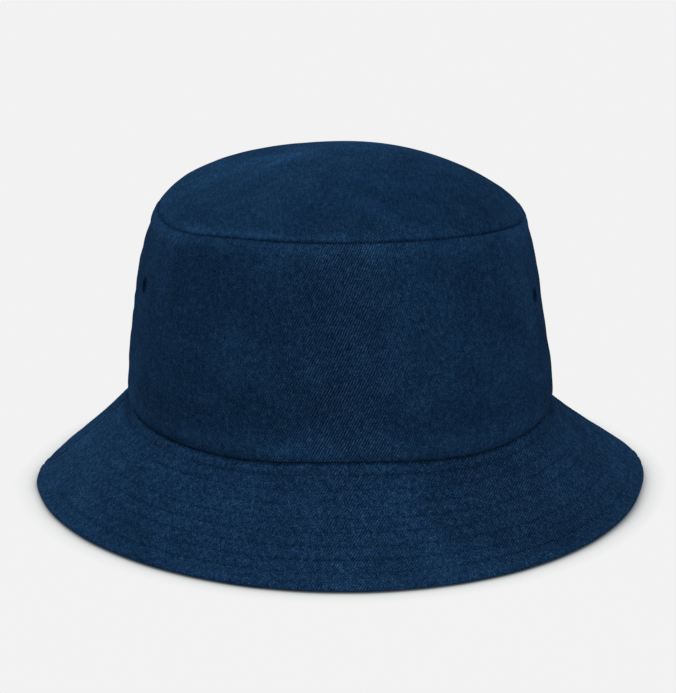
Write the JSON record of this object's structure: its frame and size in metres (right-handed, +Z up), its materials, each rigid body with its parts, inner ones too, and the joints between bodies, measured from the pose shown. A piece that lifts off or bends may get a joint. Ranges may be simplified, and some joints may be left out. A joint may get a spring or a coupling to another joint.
{
  "type": "bucket hat",
  "caption": "Dark denim bucket hat: domed oval tip, two-part side band with embroidered eyelets, sloping multi-row stitched brim, inner sweatband and taped seams.",
  "frame": {"origin": "centre of the overall box in X and Y, on the plane that the brim edge rests on", "axes": "+Z up through the crown, -Y towards the front of the hat, +X towards the right side as seen by someone facing the front; left and right in node names are also as seen from the front"},
  "size_m": [0.255, 0.2758, 0.1372],
  "materials": {
    "denim": "dark indigo cotton twill, raw side out, matt with small light flecks",
    "denim_thread": "tone-on-tone navy polyester sewing thread, slight sheen",
    "eyelet_thread": "black embroidery thread, satin",
    "interlining": "grey bonded non-woven stiffener, matt",
    "bias_tape": "black cotton bias tape, matt",
    "sweatband_cotton": "navy cotton twill ribbon, matt",
    "woven_label": "blank dark damask woven label, satin",
    "care_label": "blank white printed-satin style label, no text"
  },
  "bodies": {
    "hat": {"crown_side_front": "denim", "crown_side_back": "denim", "eyelet_right_front": "eyelet_thread", "eyelet_right_rear": "eyelet_thread", "eyelet_left_front": "eyelet_thread", "eyelet_left_rear": "eyelet_thread", "crown_tip": "denim", "brim_upper_front": "denim", "brim_upper_back": "denim", "brim_interlining_front": "interlining", "brim_interlining_back": "interlining", "brim_under_front": "denim", "brim_under_back": "denim", "brim_stitch_row_1": "denim_thread", "brim_stitch_row_2": "denim_thread", "brim_stitch_row_3": "denim_thread", "brim_stitch_row_4": "denim_thread", "brim_stitch_row_5": "denim_thread", "brim_stitch_row_6": "denim_thread", "brim_stitch_row_7": "denim_thread", "brim_stitch_row_8": "denim_thread", "side_seam_tape_right": "bias_tape", "side_seam_tape_left": "bias_tape", "tip_seam_tape": "bias_tape", "sweatband": "sweatband_cotton", "sweatband_stitching": "denim_thread", "woven_label": "woven_label"},
    "care_label_flap": {"care_label": "care_label"}
  },
  "joints": [
    {"name": "care_label_swing", "type": "hinge", "parent": "hat", "child": "care_label_flap", "pos_m": [-0.01978, 0.09661, 0.07242], "axis": [-0.9692, -0.2461, 0], "range_deg": [0, 100]}
  ]
}
